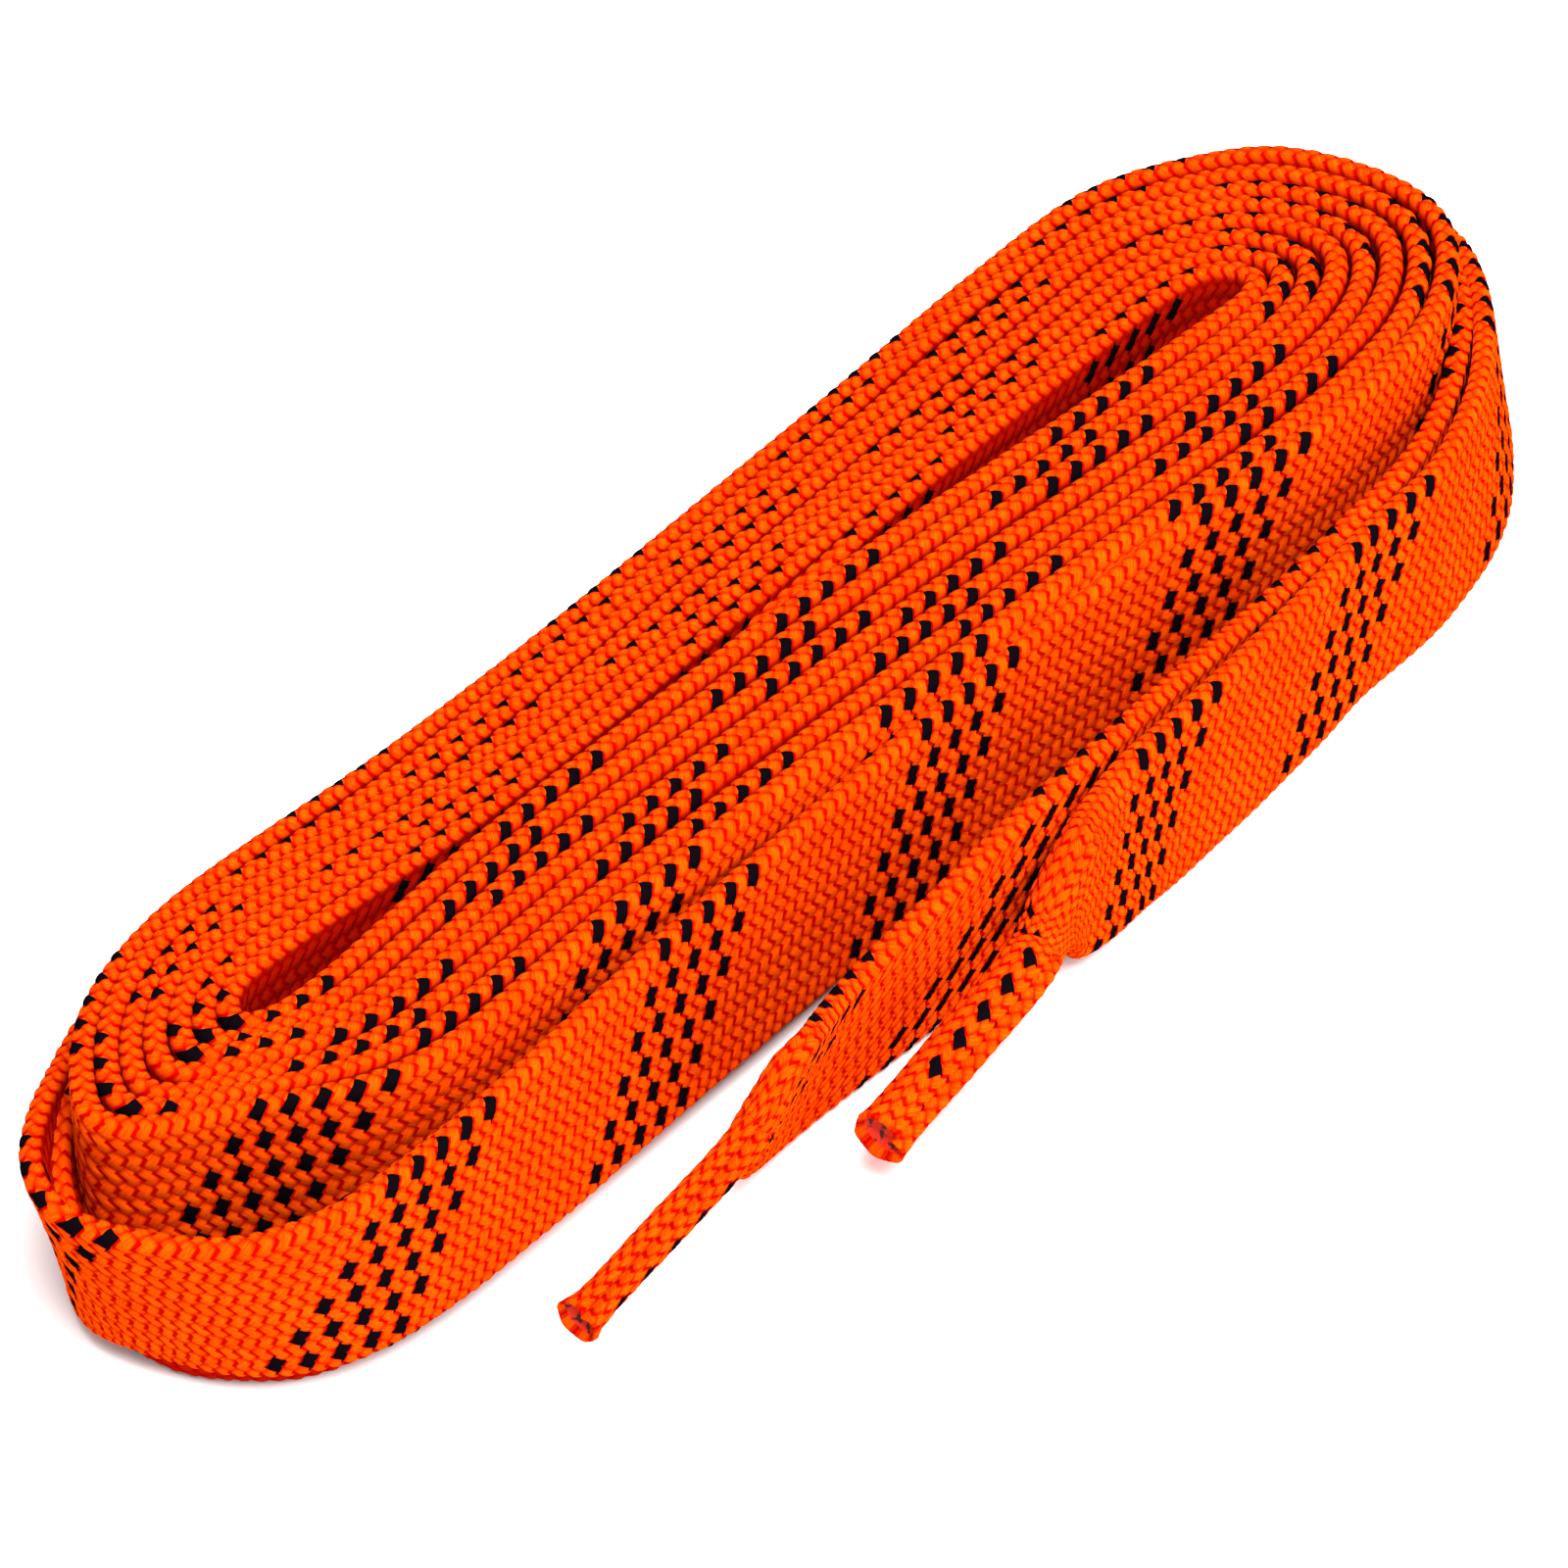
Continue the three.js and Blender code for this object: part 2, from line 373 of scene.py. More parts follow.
def run_limits(run):
    """The names of the places at the two ends of a run."""
    if run == "tail_b":
        return "neck_b", "inner_turn"
    if run == "tail_a":
        return "right_turn", "neck_a"
    side, number = run.split("_")
    number = int(number)
    if side == "back":
        return ("crossing" if number == 0 else f"left_{number}"), f"right_{number + 1}"
    return f"right_{number}", ("outer_loop" if number == LAP_COUNT else f"left_{number}")


def index_at_x(start, end, x):
    """The index of the line's point nearest x between two named places."""
    first = marks[start] * PER_SPAN
    last = marks[end] * PER_SPAN
    return first + int(np.argmin(np.abs(line[first:last + 1, 0] - x)))


def stitch_count():
    """The stitches travelled at each point of the line, with whole tracer cycles between tick groups."""
    places = [travel[index_at_x(*run_limits(run), x)] for run, x in TICK_PLACES]
    counts = [CROWN_AT_TOP]
    for before, after in zip(places, places[1:]):
        groups = max(1, round((after - before) / (CARRIERS * STITCH)))
        counts.append(counts[-1] + groups * CARRIERS)
    tip_b_start = travel_at("neck_b")
    tip_a_start = travel_at("tip_a")
    neck_b_count = counts[0] - (places[0] - tip_b_start) / NECK_STITCH
    tip_a_count = counts[-1] + (tip_a_start - places[-1]) / NECK_STITCH
    knots = [0, tip_b_start, *places, tip_a_start, travel[-1]]
    values = [
        neck_b_count - tip_b_start / TIP_STITCH,
        neck_b_count,
        *counts,
        tip_a_count,
        tip_a_count + (travel[-1] - tip_a_start) / TIP_STITCH,
    ]
    return np.interp(travel, knots, values)


stitches = stitch_count()


# ---------------------------------------------------------------- braid

def float_height(length, across):
    """Height of one float: round across, and arched along its length."""
    rounded = np.clip(1 - FLOAT_ROUND * across ** 2, 0, 1)
    return rounded * (1 - FLOAT_ARCH * length ** 2)


def relief(along, around):
    """Height of the braid, from 0 in its hollows to 1 on the crown of a float.

    along counts stitches, and around counts repeats from the top edge. Each place lies on its own
    float, or under the swollen side of the float that crosses this one's end. A furrow parts a float
    from its twin, the next float that runs the same way. The phase counts 0 and 1 for the two halves
    of a float where the row is over, and 2 and 3 where the column is."""
    alpha = along - 2 * around + COLUMN_OFFSET
    beta = along + 2 * around + ROW_OFFSET
    column = np.floor(alpha)
    row = np.floor(beta)
    phase = np.mod(row - column, 4)
    over = phase < 1.5
    run = np.where(over, alpha - column, beta - row)
    side = np.where(over, beta - row, alpha - column)
    second = np.where(over, phase > 0.5, phase < 2.5)
    twin = np.clip(((side - 0.5) * (1 - 2 * second) - TWIN_START) / (0.5 - TWIN_START), 0, 1)
    own = float_height(run - second, side - 0.5) * (1 - TWIN_DIP * twin ** 2)
    crossing = float_height(side - second, run - 1.5 + 2 * second)
    uneven = 1 + UNEVEN * np.sin(np.where(over, row * UNEVEN_ROW, column * UNEVEN_COLUMN))
    return np.maximum(own * uneven, crossing)


def section(width, thickness, fraction):
    """A point and its outward normal round a flat strip with round edges. 0 is the middle of the top."""
    radius = thickness / 2
    straight = np.maximum(width - thickness, 0)
    distance = fraction * (2 * straight + math.pi * thickness)
    quarter = math.pi * radius / 2
    half_turn = math.pi * radius
    top = straight / 2
    perimeter = 2 * (straight + half_turn)
    right_face = quarter + straight
    under = right_face + half_turn
    left_face = under + straight
    angle = np.select(
        [distance < quarter, distance < right_face, distance < under, distance < left_face],
        [
            distance / radius,
            np.full_like(distance, math.pi / 2),
            math.pi / 2 + (distance - right_face) / radius,
            np.full_like(distance, 3 * math.pi / 2),
        ],
        2 * math.pi - (perimeter - distance) / radius,
    )
    down = np.clip(distance - quarter, 0, straight)
    up = np.clip(distance - under, 0, straight)
    middle = top - down + up
    normal = np.stack([np.sin(angle), np.cos(angle)], -1)
    side = radius * normal[..., 0]
    height = middle + radius * normal[..., 1]
    return side, height, normal


def rings(first, last, steps=RING_STEPS):
    """Centre, right, up, width, thickness and stitch count at each ring between two stitch counts."""
    counts = np.arange(round(first * steps), round(last * steps) + 1) / steps
    columns = np.stack([np.interp(counts, stitches, line[:, c]) for c in range(line.shape[1])], -1)
    after = counts + HEADING_REACH
    before = counts - HEADING_REACH
    ahead = np.stack([np.interp(after, stitches, line[:, c]) for c in range(3)], -1)
    behind = np.stack([np.interp(before, stitches, line[:, c]) for c in range(3)], -1)
    forward = ahead - behind
    forward /= np.linalg.norm(forward, axis=1, keepdims=True)
    level_right = np.cross(forward, [0, 0, 1.0])
    level_right /= np.linalg.norm(level_right, axis=1, keepdims=True)
    level_up = np.cross(level_right, forward)
    roll = np.radians(columns[:, 3])[:, None]
    right = np.cos(roll) * level_right - np.sin(roll) * level_up
    up = np.cos(roll) * level_up + np.sin(roll) * level_right
    centre = columns[:, :3] + settle(counts)[:, None] * level_up
    return centre, right, up, columns[:, 4], columns[:, 5], counts


def settle(counts):
    """The small rise and fall of a strip that was wound by hand, in millimetres."""
    return sum(height * np.sin(counts * turn + phase) for height, turn, phase in SETTLE_WAVES)


def strip_points(first, last, shown=REPEATS, shift=0, crease=0):
    """The braided surface between two stitch counts: points by ring and place, and their weave position.

    A tip is a crumpled strip, with only some of its repeats shown, and creased along one side."""
    centre, right, up, width, thickness, counts = rings(first, last)
    places = (np.arange(REPEATS * ROUND_STEPS) / ROUND_STEPS - REPEATS / 2) * shown / REPEATS
    along, around = np.meshgrid(counts + shift, places, indexing="ij")
    if shown == REPEATS:
        along = along + SLANT * (np.hypot(around, 1) - 1)
    height = relief(along, around)
    if crease:
        height = height - CREASE_DEPTH * np.exp(-((around - crease) / CREASE_WIDTH) ** 2)
    depth = RELIEF * np.minimum(thickness / THICKNESS, 1)[:, None]
    inset = 2 * INSET * depth
    fraction = np.mod(around / shown, 1)
    side, rise, normal = section(width[:, None] - inset, thickness[:, None] - inset, fraction)
    offset = depth * height
    across = side + offset * normal[..., 0]
    upward = rise + offset * normal[..., 1]
    points = centre[:, None] + across[..., None] * right[:, None] + upward[..., None] * up[:, None]
    return points, along, around


def cut_rings(rim, inner):
    """Rings that lead from a tip's rim into its hollow end. The inner ring lies further up the tip."""
    middle = rim.mean(axis=0)
    inward = inner.mean(axis=0) - middle
    inward /= np.linalg.norm(inward)
    outward = rim - middle
    lengthwise = (outward @ CUT_LENGTH)[:, None] * CUT_LENGTH
    sideways = outward - lengthwise
    return [
        middle + lengthwise * length + sideways * width + inward * depth
        for length, width, depth in CUT_PROFILE
    ]


def quad_mesh(name, points, along, around, materials, cut_faces=(0, 0)):
    """A closed tube mesh of rings, with the weave position as its UV map and a face over each end.

    cut_faces counts the rings at each end that have the second material."""
    count, places = points.shape[:2]
    flat = points.reshape(-1, 3)
    vertices = np.column_stack([flat[:, 0] - CENTRE_X, flat[:, 1] - CENTRE_Y, flat[:, 2]]) * MM
    ring, place = np.meshgrid(np.arange(count - 1), np.arange(places), indexing="ij")
    after = (place + 1) % places
    quads = np.stack([
        ring * places + place, ring * places + after,
        (ring + 1) * places + after, (ring + 1) * places + place,
    ], -1).reshape(-1, 4)
    u = along - CARRIERS * np.floor(along[0, 0] / CARRIERS)
    v = np.append(around[0], 2 * around[0, -1] - around[0, -2])
    corner_u = np.stack([
        u[ring, place], u[ring, after], u[ring + 1, after], u[ring + 1, place],
    ], -1).reshape(-1)
    corner_v = np.stack([v[place], v[place + 1], v[place + 1], v[place]], -1).reshape(-1)
    caps = np.concatenate([np.arange(places)[::-1], (count - 1) * places + np.arange(places)])
    cap_u = np.concatenate([u[0][::-1], u[-1]])
    cap_v = np.concatenate([around[0][::-1], around[-1]])
    corners = np.concatenate([quads.reshape(-1), caps])
    starts = np.concatenate([np.arange(len(quads)) * 4, len(quads) * 4 + np.array([0, places])])
    mesh = bpy.data.meshes.new(name)
    mesh.vertices.add(len(vertices))
    mesh.vertices.foreach_set("co", vertices.astype(np.float32).ravel())
    mesh.loops.add(len(corners))
    mesh.loops.foreach_set("vertex_index", corners.astype(np.int32))
    mesh.polygons.add(len(starts))
    mesh.polygons.foreach_set("loop_start", starts.astype(np.int32))
    mesh.update(calc_edges=True)
    weave = mesh.uv_layers.new(name="weave")
    uv = np.column_stack([np.concatenate([corner_u, cap_u]), np.concatenate([corner_v, cap_v])])
    weave.data.foreach_set("uv", uv.astype(np.float32).ravel())
    mesh.polygons.foreach_set("use_smooth", np.ones(len(starts), bool))
    for material in materials:
        mesh.materials.append(material)
    cut = np.concatenate([ring.ravel() < cut_faces[0], [cut_faces[0] > 0, cut_faces[1] > 0]])
    cut[:ring.size] |= ring.ravel() >= count - 1 - cut_faces[1]
    mesh.polygons.foreach_set("material_index", cut.astype(np.int32))
    obj = bpy.data.objects.new(name, mesh)
    bpy.context.scene.collection.objects.link(obj)
    return obj


# ---------------------------------------------------------------- materials

class Nodes:
    """Short calls for building a material's node tree."""

    def __init__(self, name):
        self.material = bpy.data.materials.new(name)
        self.material.use_nodes = True
        self.tree = self.material.node_tree
        self.shader = self.tree.nodes["Principled BSDF"]

    def add(self, kind, **settings):
        """A new node with its settings."""
        node = self.tree.nodes.new(kind)
        for key, value in settings.items():
            setattr(node, key, value)
        return node

    def link(self, source, socket):
        """Gives a socket a plain number, or another node's output."""
        if isinstance(source, (int, float)):
            socket.default_value = source
        else:
            self.tree.links.new(source, socket)

    def math(self, operation, *values):
        """The result of an operation on numbers or outputs."""
        node = self.add("ShaderNodeMath", operation=operation)
        for socket, value in zip(node.inputs, values):
            self.link(value, socket)
        return node.outputs[0]

    def mix(self, factor, first, second):
        """A colour between two, which are colours or outputs."""
        node = self.add("ShaderNodeMix", data_type="RGBA")
        self.link(factor, node.inputs[0])
        colour_inputs = node.inputs[6:8]
        for value, socket in zip((first, second), colour_inputs):
            if isinstance(value, tuple):
                socket.default_value = value
            else:
                self.link(value, socket)
        return node.outputs[2]

    def vector(self, x, y, z):
        """A vector of three numbers or outputs."""
        node = self.add("ShaderNodeCombineXYZ")
        for socket, value in zip(node.inputs, (x, y, z)):
            self.link(value, socket)
        return node.outputs[0]

    def ramp(self, value, low, high):
        """A smooth rise from 0 at the low value to 1 at the high one."""
        node = self.add("ShaderNodeMapRange", interpolation_type="SMOOTHSTEP")
        self.link(value, node.inputs[0])
        node.inputs[1].default_value = low
        node.inputs[2].default_value = high
        return node.outputs[0]


# Colours: a float's crown, and its brightest fibres, which also stand for a painted sheen; a painted shade
# for the hollows between floats; a tracer;
# a painted shade for the groove between two laps; and a tip's melted cut with its specks.
CROWN = (0.58, 0.027, 0.0, 1)
BRIGHT_FIBRE_SHEEN = (0.66, 0.08, 0.001, 1)
HOLLOW_SHADE = (0.34, 0.001, 0.0, 1)
BLACK = (0.0025, 0.0015, 0.0025, 1)
GROOVE_SHADE = (0.25, 0.0, 0.0, 1)
CUT_RED = (0.55, 0.015, 0.0, 1)
CUT_DARK = (0.05, 0.006, 0.003, 1)

# The carriers that head to the left are numbered from 0. The even ones up to this one are tracers.
LAST_TRACER = 8

# How far a tracer's colour spreads over the floats that cross its ends, as a height.
TRACER_SPREAD = 0.16

# The relief heights between which the colour turns from the painted shade of the hollows to orange.
SHADE_HEIGHT = (0.25, 0.82)

# Half the width of a tracer's float, in stitches: on the faces, and where it is pulled tight over the
# top edge. The tight part is centred a little to the left of travel, and reaches some way to each side.
TRACER_HALF = 0.68
TIGHT_HALF = 0.43
TIGHT_PLACE = -0.1
TIGHT_REACH = 0.5

# How far round from the top edge the side of a lap takes the painted shade of the groove beside the next
# lap.
GROOVE_SHADE_EDGE = (0.08, 0.38)
GROOVE_SHADE_DEPTH = 0.9

# The fibres of a float: how finely they lie side by side, how slowly they change along it, how far
# they bow, the step of the noise from one strand to the next, and its detail.
FIBRES_ACROSS = 14
FIBRES_ALONG = 0.9
FIBRE_BOW = 0.8
STRAND_STEP = 3.7
FIBRE_DETAIL = 2.0

# Keeps the numbers of the strands that head to the right apart from those that head to the left.
OTHER_STRANDS = 100.5

# Paler and darker patches of the lace: their scale, their share, and their step from strand to strand.
PATCH_SCALE = 0.35
PATCH_SHARE = 0.35
PATCH_STEP = 0.05

# The range of fibre and patch, added up, over which the colour turns from the crown's to the brightest,
# which is partly a painted sheen.
BRIGHT_SHEEN_RANGE = (0.45, 0.95)

# Surface: the bump's strength and depth in metres, and the roughness that the fibres add. A finish is
# the roughness and the share of the fibres in the bump. The braid is matt, with no clear reflection; its
# sheen is a painted highlight in the brightest fibres.
BUMP_STRENGTH = 0.7
BUMP_DEPTH = 0.00012
FIBRE_ROUGHNESS = 0.25
LACE_FINISH = (0.38, 0.16)
TIP_FINISH = (0.28, 0.08)
MATT = 0.0

# The melted cut: specks for each metre and their detail, the noise between dark and red, its bump, its
# roughness and its shine.
SPECK_SCALE = 2600
SPECK_DETAIL = 3.0
SPECK_RANGE = (0.38, 0.5)
CUT_BUMP_STRENGTH = 0.6
CUT_BUMP_DEPTH = 0.0001
CUT_ROUGHNESS = 0.6
CUT_SHINE = 0.2

FLOOR_GREY = (0.9, 0.9, 0.9, 1)
FLOOR_ROUGHNESS = 0.9


def float_nodes(n, length, across):
    """Shader nodes for the height of one float, as in float_height."""
    fall = n.math("MULTIPLY", n.math("MULTIPLY", across, across), FLOAT_ROUND)
    rounded = n.math("MAXIMUM", n.math("SUBTRACT", 1, fall), 0)
    arch = n.math("MULTIPLY", n.math("MULTIPLY", length, length), FLOAT_ARCH)
    return n.math("MULTIPLY", rounded, n.math("SUBTRACT", 1, arch))


def choose(n, condition, first, second):
    """The first value where the condition is 1, and the second where it is 0."""
    other = n.math("MULTIPLY", n.math("SUBTRACT", 1, condition), second)
    return n.math("MULTIPLY_ADD", condition, first, other)


def weave_nodes(n, along, around):
    """Shader nodes for the weave, worked out as in relief().

    Gives the height, the place along and across the strand that shows, its number, and whether it is
    a tracer."""
    twice = n.math("MULTIPLY", around, 2)
    alpha = n.math("ADD", n.math("SUBTRACT", along, twice), COLUMN_OFFSET)
    beta = n.math("ADD", n.math("ADD", along, twice), ROW_OFFSET)
    column = n.math("FLOOR", alpha)
    row = n.math("FLOOR", beta)
    in_column = n.math("SUBTRACT", alpha, column)
    in_row = n.math("SUBTRACT", beta, row)
    phase = n.math("FLOORED_MODULO", n.math("SUBTRACT", row, column), 4)
    over = n.math("LESS_THAN", phase, 1.5)
    run = choose(n, over, in_column, in_row)
    side = choose(n, over, in_row, in_column)
    second = choose(n, over, n.math("GREATER_THAN", phase, 0.5), n.math("LESS_THAN", phase, 2.5))
    length = n.math("SUBTRACT", run, second)
    across = n.math("SUBTRACT", side, 0.5)
    next_length = n.math("SUBTRACT", side, second)
    next_across = n.math("MULTIPLY_ADD", second, 2, n.math("SUBTRACT", run, 1.5))
    toward_twin = n.math("MULTIPLY", across, n.math("MULTIPLY_ADD", second, -2, 1))
    furrow = n.math("MULTIPLY", n.ramp(toward_twin, TWIN_START, 0.5), TWIN_DIP)
    own = n.math("MULTIPLY", float_nodes(n, length, across), n.math("SUBTRACT", 1, furrow))
    crossing = float_nodes(n, next_length, next_across)
    height = n.math("MAXIMUM", own, crossing)

    tracer = tracer_nodes(n, row, over, second)
    row_under = n.math("MULTIPLY_ADD", over, -2, 1)
    spread = n.math("MULTIPLY", n.math("MULTIPLY", tracer, TRACER_SPREAD), row_under)
    hidden = n.math("GREATER_THAN", n.math("ADD", crossing, spread), own)
    shown_length = choose(n, hidden, next_length, length)
    shown_across = choose(n, hidden, next_across, across)
    strand = choose(n, over, row, n.math("ADD", column, OTHER_STRANDS))
    row_shows = n.math("ABSOLUTE", n.math("SUBTRACT", over, hidden))
    return height, shown_length, shown_across, strand, n.math("MULTIPLY", tracer, row_shows)


def tracer_nodes(n, row, over, second):
    """Shader nodes that are 1 where the row that lies here, or next to here, is a tracer."""
    step = n.math("MULTIPLY", n.math("SUBTRACT", 1, over), n.math("MULTIPLY_ADD", second, -2, 1))
    carrier = n.math("FLOORED_MODULO", n.math("ADD", row, step), CARRIERS)
    early = n.math("LESS_THAN", carrier, LAST_TRACER + 0.5)
    even = n.math("LESS_THAN", n.math("FLOORED_MODULO", carrier, 2), 0.5)
    return n.math("MULTIPLY", early, even)


def tick_nodes(n, around, across, tracer, tracer_row):
    """Shader nodes that are 1 within a tracer's float, which is narrower where it is pulled tight."""
    from_tight = n.math("ABSOLUTE", n.math("SUBTRACT", around, TIGHT_PLACE))
    off_edge = n.math("DIVIDE", from_tight, TIGHT_REACH)
    widening = n.math("MULTIPLY", n.math("MINIMUM", off_edge, 1), TRACER_HALF - TIGHT_HALF)
    reach = n.math("ADD", widening, TIGHT_HALF)
    within = n.math("LESS_THAN", n.math("ABSOLUTE", across), reach)
    black = n.math("MULTIPLY", tracer, within)
    if tracer_row is None:
        return black
    off_row = n.math("ABSOLUTE", n.math("SUBTRACT", around, tracer_row))
    return n.math("MULTIPLY", black, n.math("LESS_THAN", off_row, TIP_TRACER_REACH))


def fibre_nodes(n, length, across, strand):
    """Shader nodes for the fine fibres that run along each float."""
    fibres = n.add("ShaderNodeTexNoise", noise_dimensions="3D")
    fibres.inputs["Scale"].default_value = 1.0
    fibres.inputs["Detail"].default_value = FIBRE_DETAIL
    squared = n.math("MULTIPLY", length, length)
    bowed = n.math("MULTIPLY_ADD", squared, FIBRE_BOW, n.math("MULTIPLY", across, FIBRES_ACROSS))
    lengthwise = n.math("MULTIPLY", length, FIBRES_ALONG)
    n.link(n.vector(bowed, lengthwise, n.math("MULTIPLY", strand, STRAND_STEP)), fibres.inputs["Vector"])
    return fibres.outputs["Fac"]


def patch_nodes(n, along, around, strand):
    """Shader nodes for slow changes of colour along the lace."""
    patch = n.add("ShaderNodeTexNoise", noise_dimensions="3D")
    patch.inputs["Scale"].default_value = PATCH_SCALE
    n.link(n.vector(along, around, n.math("MULTIPLY", strand, PATCH_STEP)), patch.inputs["Vector"])
    return n.math("MULTIPLY", patch.outputs["Fac"], PATCH_SHARE)


def groove_shade_nodes(n, around, groove_shades):
    """Shader nodes for how much painted shade a side takes from the grooves to the left and to the right of
    travel.
    """
    left = n.math("MULTIPLY", n.ramp(n.math("MULTIPLY", around, -1), *GROOVE_SHADE_EDGE), groove_shades[0])
    right = n.math("MULTIPLY", n.ramp(around, *GROOVE_SHADE_EDGE), groove_shades[1])
    return n.math("ADD", left, right)


def bump_nodes(n, height, strength, depth):
    """Gives the material a bump from a height."""
    bump = n.add("ShaderNodeBump")
    bump.inputs["Strength"].default_value = strength
    bump.inputs["Distance"].default_value = depth
    n.link(height, bump.inputs["Height"])
    n.link(bump.outputs[0], n.shader.inputs["Normal"])


def braid_material(name, finish, groove_shades=(0, 0), tracer_row=None):
    """The braid's stitches, worked out from the weave position: orange strands and black tracers.

    The hollows between floats take a painted shade. groove_shades sets the painted shade where the sides
    face the next laps: to the left and the right of travel.
    tracer_row is the only place around the strip where tracers show, if they do not show all round."""
    n = Nodes(name)
    roughness, fuzz = finish
    place = n.add("ShaderNodeSeparateXYZ")
    n.link(n.add("ShaderNodeUVMap", uv_map="weave").outputs[0], place.inputs[0])
    along = place.outputs[0]
    around = place.outputs[1]
    height, length, across, strand, tracer = weave_nodes(n, along, around)
    black = tick_nodes(n, around, across, tracer, tracer_row)
    fibre = fibre_nodes(n, length, across, strand)

    fibre_and_sheen_lift = n.ramp(n.math("ADD", fibre, patch_nodes(n, along, around, strand)), *BRIGHT_SHEEN_RANGE)
    # The brightest fibres are partly their own tone and partly a painted sheen.
    orange = n.mix(fibre_and_sheen_lift, CROWN, BRIGHT_FIBRE_SHEEN)
    # Painted shade darkens the hollows between floats, by the relief's height.
    shaded = n.mix(n.ramp(height, *SHADE_HEIGHT), HOLLOW_SHADE, orange)
    # Painted shade where the sides of a lap face the next laps.
    groove_shaded_colour = n.mix(groove_shade_nodes(n, around, groove_shades), shaded, GROOVE_SHADE)
    n.link(n.mix(black, groove_shaded_colour, BLACK), n.shader.inputs["Base Color"])

    bump_nodes(n, n.math("MULTIPLY_ADD", fibre, fuzz, height), BUMP_STRENGTH, BUMP_DEPTH)
    n.link(n.math("MULTIPLY_ADD", fibre, FIBRE_ROUGHNESS, roughness), n.shader.inputs["Roughness"])
    n.shader.inputs["Specular IOR Level"].default_value = MATT
    return n.material


def cut_material():
    """The melted, cut end of a tip: dull red fibre ends with dark specks."""
    n = Nodes("cut_end")
    speck = n.add("ShaderNodeTexNoise", noise_dimensions="3D")
    speck.inputs["Scale"].default_value = SPECK_SCALE
    speck.inputs["Detail"].default_value = SPECK_DETAIL
    n.link(n.add("ShaderNodeTexCoord").outputs["Object"], speck.inputs["Vector"])
    tone = n.ramp(speck.outputs["Fac"], *SPECK_RANGE)
    n.link(n.mix(tone, CUT_DARK, CUT_RED), n.shader.inputs["Base Color"])
    bump_nodes(n, speck.outputs["Fac"], CUT_BUMP_STRENGTH, CUT_BUMP_DEPTH)
    n.shader.inputs["Roughness"].default_value = CUT_ROUGHNESS
    n.shader.inputs["Specular IOR Level"].default_value = CUT_SHINE
    return n.material


def floor_material():
    """A plain, pale floor."""
    n = Nodes("pale_floor")
    n.shader.inputs["Base Color"].default_value = FLOOR_GREY
    n.shader.inputs["Roughness"].default_value = FLOOR_ROUGHNESS
    return n.material


# The left of travel is the outside of the hank, so its outermost stretches have no painted groove shade
# there.
OUTERMOST = ("lap_7", "outer_loop_run")

lace_material = braid_material("lace_braid", LACE_FINISH)
# Copies of the braid with painted shade on the sides that face other laps.
shaded_between_laps_material = braid_material("lace_braid_shaded_between_laps", LACE_FINISH, (GROOVE_SHADE_DEPTH, GROOVE_SHADE_DEPTH))
shaded_inner_side_material = braid_material("lace_braid_shaded_inner_side", LACE_FINISH, (0, GROOVE_SHADE_DEPTH))
tip_materials = {
    letter: braid_material(f"tip_braid_{letter}", TIP_FINISH, tracer_row=row)
    for letter, row in TIP_TRACER_ROWS.items()
}
end_material = cut_material()


# ---------------------------------------------------------------- pieces

def count_at(mark):
    """The whole stitch count nearest a named place."""
    return float(round(stitches[marks[mark] * PER_SPAN]))


def count_between(start, end, x):
    """The whole stitch count nearest x between two named places."""
    return float(round(stitches[index_at_x(start, end, x)]))


def centreline(first, last):
    """The path of a stretch, as row-frame points."""
    centre = rings(first, last, 1)[0]
    return [row_frame(*point) for point in centre]


def stretch(name, first, last, material):
    """One length of the lace as a mesh."""
    points, along, around = strip_points(first, last)
    return quad_mesh(name, points, along, around, [material])


def tip_end(name, first, last, cut_first, shift, crease, material):
    """A tip as a mesh, with its hollow cut end at the start or the end of its travel."""
    points, along, around = strip_points(first, last, TIP_REPEATS, shift, crease)
    added = len(CUT_PROFILE)
    if cut_first:
        extra = cut_rings(points[0], points[RING_STEPS])[::-1]
        points = np.concatenate([extra, points])
        along = np.concatenate([np.repeat(along[:1], added, 0), along])
        around = np.concatenate([around[:added], around])
        return quad_mesh(name, points, along, around, [material, end_material], (added - RIM_RINGS, 0))
    extra = cut_rings(points[-1], points[-1 - RING_STEPS])
    points = np.concatenate([points, extra])
    along = np.concatenate([along, np.repeat(along[-1:], added, 0)])
    around = np.concatenate([around, around[:added]])
    return quad_mesh(name, points, along, around, [material, end_material], (0, added - RIM_RINGS))


def declare(obj, first, last, far_end, with_pieces=()):
    """Works out the path of a stretch, and does nothing more with it."""
    path = centreline(first, last)


def direction(azimuth, elevation):
    """The unit vector towards an azimuth and an elevation in degrees. Azimuth 0 is the front."""
    a = math.radians(azimuth)
    e = math.radians(elevation)
    return Vector((math.sin(a) * math.cos(e), -math.cos(a) * math.cos(e), math.sin(e)))


def make_camera():
    """The camera, facing its target."""
    target = Vector(row_frame(*TARGET))
    away = direction(CAMERA_AZIMUTH, CAMERA_ELEVATION)
    data = bpy.data.cameras.new("camera")
    data.lens = LENS
    data.sensor_width = SENSOR
    camera = bpy.data.objects.new("camera", data)
    camera.location = target + away * CAMERA_DISTANCE * MM
    camera.rotation_euler = away.to_track_quat("Z", "Y").to_euler()
    bpy.context.scene.collection.objects.link(camera)
    bpy.context.scene.camera = camera


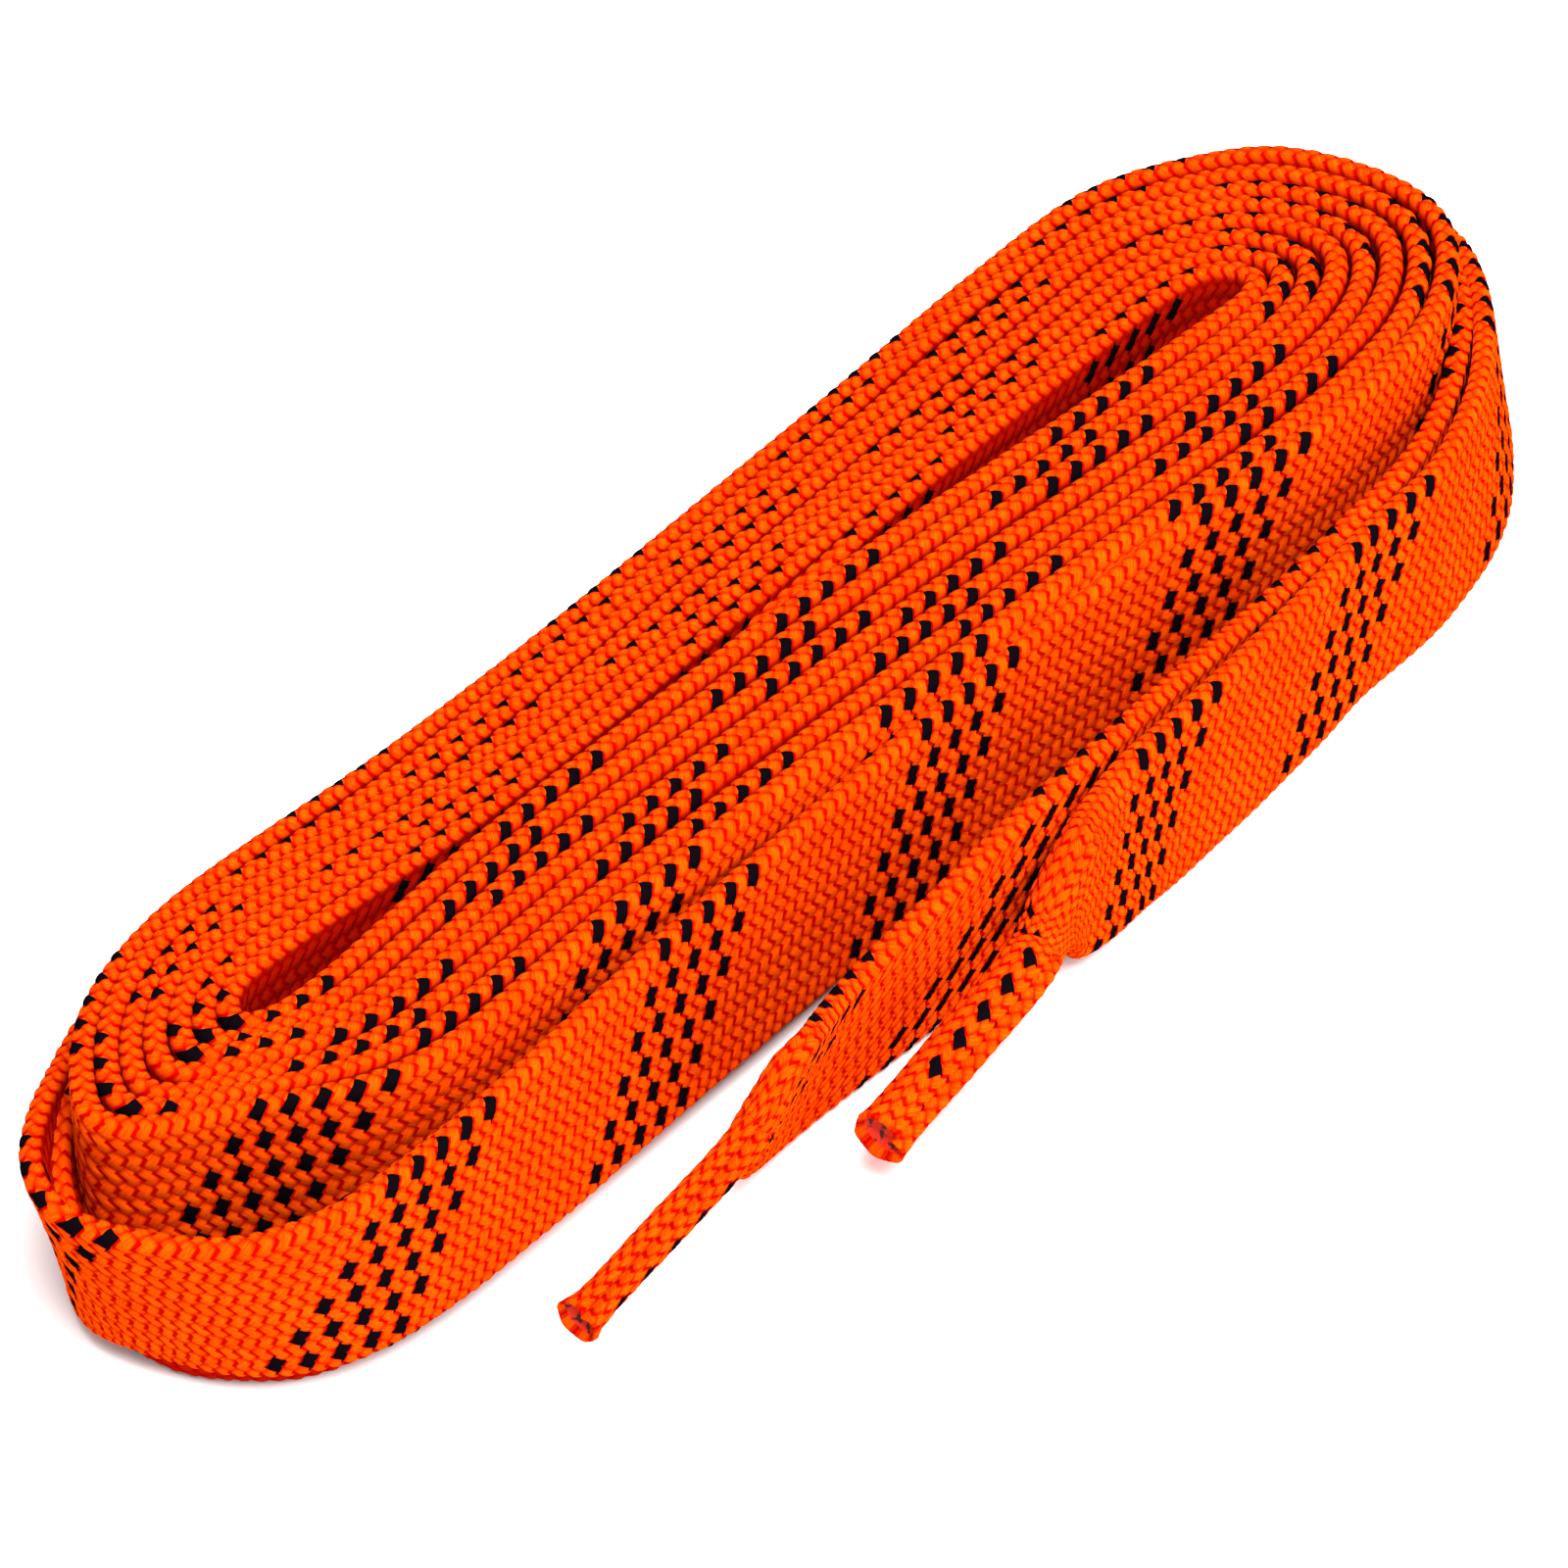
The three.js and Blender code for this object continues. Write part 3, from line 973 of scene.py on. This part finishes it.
def make_hank():
    """The stretches that ride on the hank's own body, in travel order. Gives the counts at its ends."""
    first_cut = count_between("inner_turn", "inner_loop", TAIL_ROOT_X)
    cuts = [("inner_loop_run", first_cut, count_at("crossing") - CROSSING_LEAD)]
    cuts.append(("crossing_run", cuts[-1][2], count_at("right_1")))
    cuts.append(("front_run_1", cuts[-1][2], count_at("left_1")))
    cuts.append(("back_run_1", cuts[-1][2], count_at("right_2")))
    for lap in range(2, LAP_COUNT):
        cuts.append((f"lap_{lap}", cuts[-1][2], count_at(f"right_{lap + 1}")))
    last_cut = count_between("outer_turn", "right_turn", TAIL_ROOT_X)
    cuts.append(("outer_loop_run", cuts[-1][2], last_cut))
    for name, first, last in cuts:
        material = shaded_inner_side_material if name in OUTERMOST else shaded_between_laps_material
        obj = stretch(name, first, last, material)
        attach(obj, "hank")
        declare(obj, first, last, "object")
        if name == "crossing_run":
            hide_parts("wound_hank", "crossing_strip")
        if name == "inner_loop_run":
            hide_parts("inner_turn")
        if name == "outer_loop_run":
            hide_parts("outer_turn")
    return first_cut, last_cut


def make_end(letter, turn_cut, tail_cut, neck_cut, tip_cut):
    """A tail, its neck and its tip. Cuts are stitch counts from the hank's end of the tail outwards."""
    turn = stretch(f"tail_{letter}_run", *sorted((turn_cut, tail_cut)), lace_material)
    neck = stretch(f"neck_{letter}_run", *sorted((tail_cut, neck_cut)), lace_material)
    first, last = sorted((neck_cut, tip_cut))
    count_wanted, crease = TIP_BRAID[letter]
    middle = (first + last) / 2
    shift = round(count_wanted - middle + CARRIERS * round((middle - count_wanted) / CARRIERS))
    tip = tip_end(
        f"tip_{letter}_end", first, last, letter == "b", shift, crease, tip_materials[letter],
    )
    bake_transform(turn)
    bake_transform(neck)
    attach(tip, f"tip_{letter}")
    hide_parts(f"tail_{letter}")
    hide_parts(f"neck_{letter}")
    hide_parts(f"tip_{letter}")
    declare(turn, *sorted((turn_cut, tail_cut)), "fitting", [neck, tip])


def make_stage():
    """A square floor just under the lace."""
    mesh = bpy.data.meshes.new("floor")
    r = FLOOR_REACH
    mesh.from_pydata([(-r, -r, 0), (r, -r, 0), (r, r, 0), (-r, r, 0)], [], [(0, 1, 2, 3)])
    mesh.materials.append(floor_material())
    floor = bpy.data.objects.new("floor", mesh)
    floor.location.z = -FLOOR_DROP
    bpy.context.scene.collection.objects.link(floor)


def make_light(name, azimuth, elevation, distance, size, power):
    """A square area light that faces the hank."""
    away = direction(azimuth, elevation)
    data = bpy.data.lights.new(name, "AREA")
    data.size = size
    data.energy = power
    light = bpy.data.objects.new(name, data)
    light.location = away * distance
    light.rotation_euler = away.to_track_quat("Z", "Y").to_euler()
    bpy.context.scene.collection.objects.link(light)


def make_world():
    """An even white light from all round."""
    world = bpy.data.worlds.new("studio")
    world.use_nodes = True
    background = world.node_tree.nodes["Background"]
    background.inputs[0].default_value = (1, 1, 1, 1)
    background.inputs[1].default_value = WORLD_STRENGTH
    bpy.context.scene.world = world


make_camera()
hank_start, hank_end = make_hank()
make_end(
    "a", hank_end, count_between("right_turn", "neck_a", NECK_A_X[0]),
    count_between("neck_a", "end", NECK_A_X[1]), math.floor(stitches[-1]),
)
make_end(
    "b", hank_start, count_between("neck_b", "inner_turn", NECK_B_X[0]),
    count_between("tip_b", "tail_b", NECK_B_X[1]), math.ceil(stitches[0]),
)
make_stage()
make_world()
for light in LIGHTS:
    make_light(*light)
bpy.context.scene.view_settings.view_transform = "Standard"
